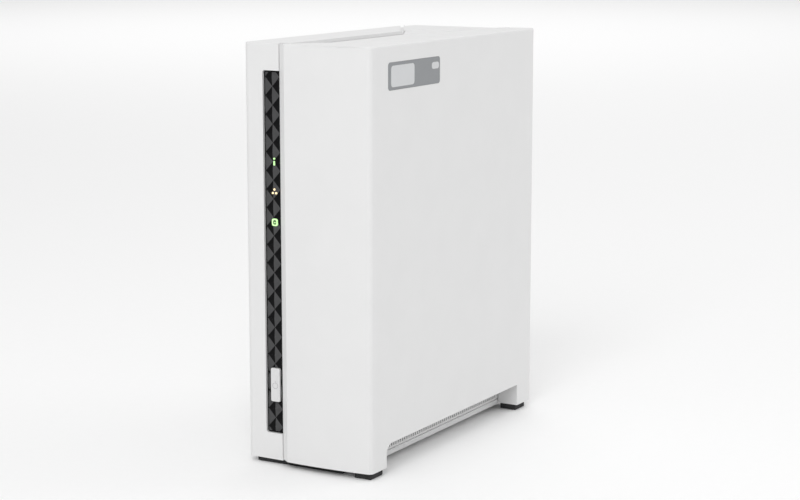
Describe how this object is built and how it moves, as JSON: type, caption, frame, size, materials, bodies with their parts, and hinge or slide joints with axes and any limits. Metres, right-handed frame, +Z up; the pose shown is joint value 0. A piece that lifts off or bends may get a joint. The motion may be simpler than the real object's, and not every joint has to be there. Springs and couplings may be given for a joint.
{
  "type": "network attached storage",
  "caption": "Upright white desktop network storage box with a narrow black light strip, low side vents, a sliding cover and rear ports.",
  "frame": {"origin": "middle of the box's footprint, on the surface that it stands on", "axes": "+Z up, the front faces -Y, +X is the right-hand side seen from the front"},
  "size_m": [0.0662, 0.1562, 0.1886],
  "materials": {
    "shell_white": "fine satin moulding texture",
    "rear_white": "fine satin moulding texture",
    "rubber_dark": "matt rubber",
    "lens_black": "faceted dark gloss",
    "light_green": "lit translucent",
    "light_amber": "lit translucent",
    "button_white": "satin",
    "board_green": "solder mask",
    "switch_black": "satin",
    "led_clear": "clear resin",
    "connector_black": "satin",
    "connector_white": "satin",
    "screw_steel": "nickel plated",
    "fan_black": "satin",
    "copper": "enamelled winding",
    "lead_black": "sleeve",
    "chip_black": "moulded epoxy",
    "heatsink_aluminium": "extruded",
    "can_aluminium": "drawn can",
    "cell_steel": "pressed steel",
    "jack_steel": "tinned sheet",
    "drive_aluminium": "cast",
    "lid_steel": "pressed sheet",
    "bracket_steel": "zinc-plated sheet",
    "label_grey": "printed film"
  },
  "bodies": {
    "chassis": {"left_shell": "shell_white", "base_tray": "shell_white", "rear_panel": "rear_white", "front_strip_foot": "rubber_dark", "rear_strip_foot": "rubber_dark", "lens_strip": "lens_black", "info_light_pipe": "light_green", "network_light_pipe": "light_amber", "disk_light_pipe": "light_green", "front_board": "board_green", "power_switch": "switch_black", "status_leds": "led_clear", "board_link": "connector_black", "rear_panel_screws": "screw_steel", "fan_screws": "screw_steel", "fan_frame": "fan_black", "fan_stator": "copper", "fan_lead": "lead_black", "fan_connector": "connector_white", "mainboard": "board_green", "board_screws": "screw_steel", "bracket_screws": "screw_steel", "processor": "chip_black", "heatsink": "heatsink_aluminium", "memory_chips": "chip_black", "small_chips": "chip_black", "capacitors": "can_aluminium", "coin_cell_holder": "connector_black", "coin_cell": "cell_steel", "lan_jack": "jack_steel", "lower_usb_port": "jack_steel", "upper_usb_port": "jack_steel", "dc_jack": "connector_black", "reset_switch": "switch_black", "riser_socket": "connector_black", "riser_board": "board_green", "drive_socket": "connector_black", "drive_connector": "connector_black", "drive_casting": "drive_aluminium", "drive_lid": "lid_steel", "drive_lid_screws": "screw_steel", "drive_board": "board_green", "drive_bracket": "bracket_steel", "drive_screws": "screw_steel", "base_screws": "screw_steel"},
    "cover": {"right_cover": "shell_white", "front_right_foot": "rubber_dark", "rear_right_foot": "rubber_dark", "side_label": "label_grey"},
    "power_button": {"power_button": "button_white"},
    "reset_button": {"reset_button": "switch_black"},
    "fan_rotor": {"fan_rotor": "fan_black"},
    "upper_thumb_screw": {"upper_thumb_screw": "screw_steel"},
    "lower_thumb_screw": {"lower_thumb_screw": "screw_steel"}
  },
  "joints": [
    {"name": "cover_slide", "type": "slide", "parent": "chassis", "child": "cover", "axis": [0, -1, 0], "range_m": [0, 0.165]},
    {"name": "power_press", "type": "slide", "parent": "chassis", "child": "power_button", "axis": [0, 1, 0], "range_m": [0, 0.001], "stiffness_N_per_m": 900, "springref_m": -0.0006},
    {"name": "reset_press", "type": "slide", "parent": "chassis", "child": "reset_button", "axis": [0, -1, 0], "range_m": [0, 0.0004], "stiffness_N_per_m": 1500, "springref_m": -0.0003},
    {"name": "fan_spin", "type": "hinge", "parent": "chassis", "child": "fan_rotor", "pos_m": [0.001, 0.0681, 0.138], "axis": [0, 1, 0], "continuous": true},
    {"name": "upper_screw_turn", "type": "hinge", "parent": "chassis", "child": "upper_thumb_screw", "pos_m": [0.026, 0.072, 0.1789], "axis": [0, 1, 0], "continuous": true},
    {"name": "lower_screw_turn", "type": "hinge", "parent": "chassis", "child": "lower_thumb_screw", "pos_m": [0.026, 0.072, 0.0206], "axis": [0, 1, 0], "continuous": true}
  ]
}
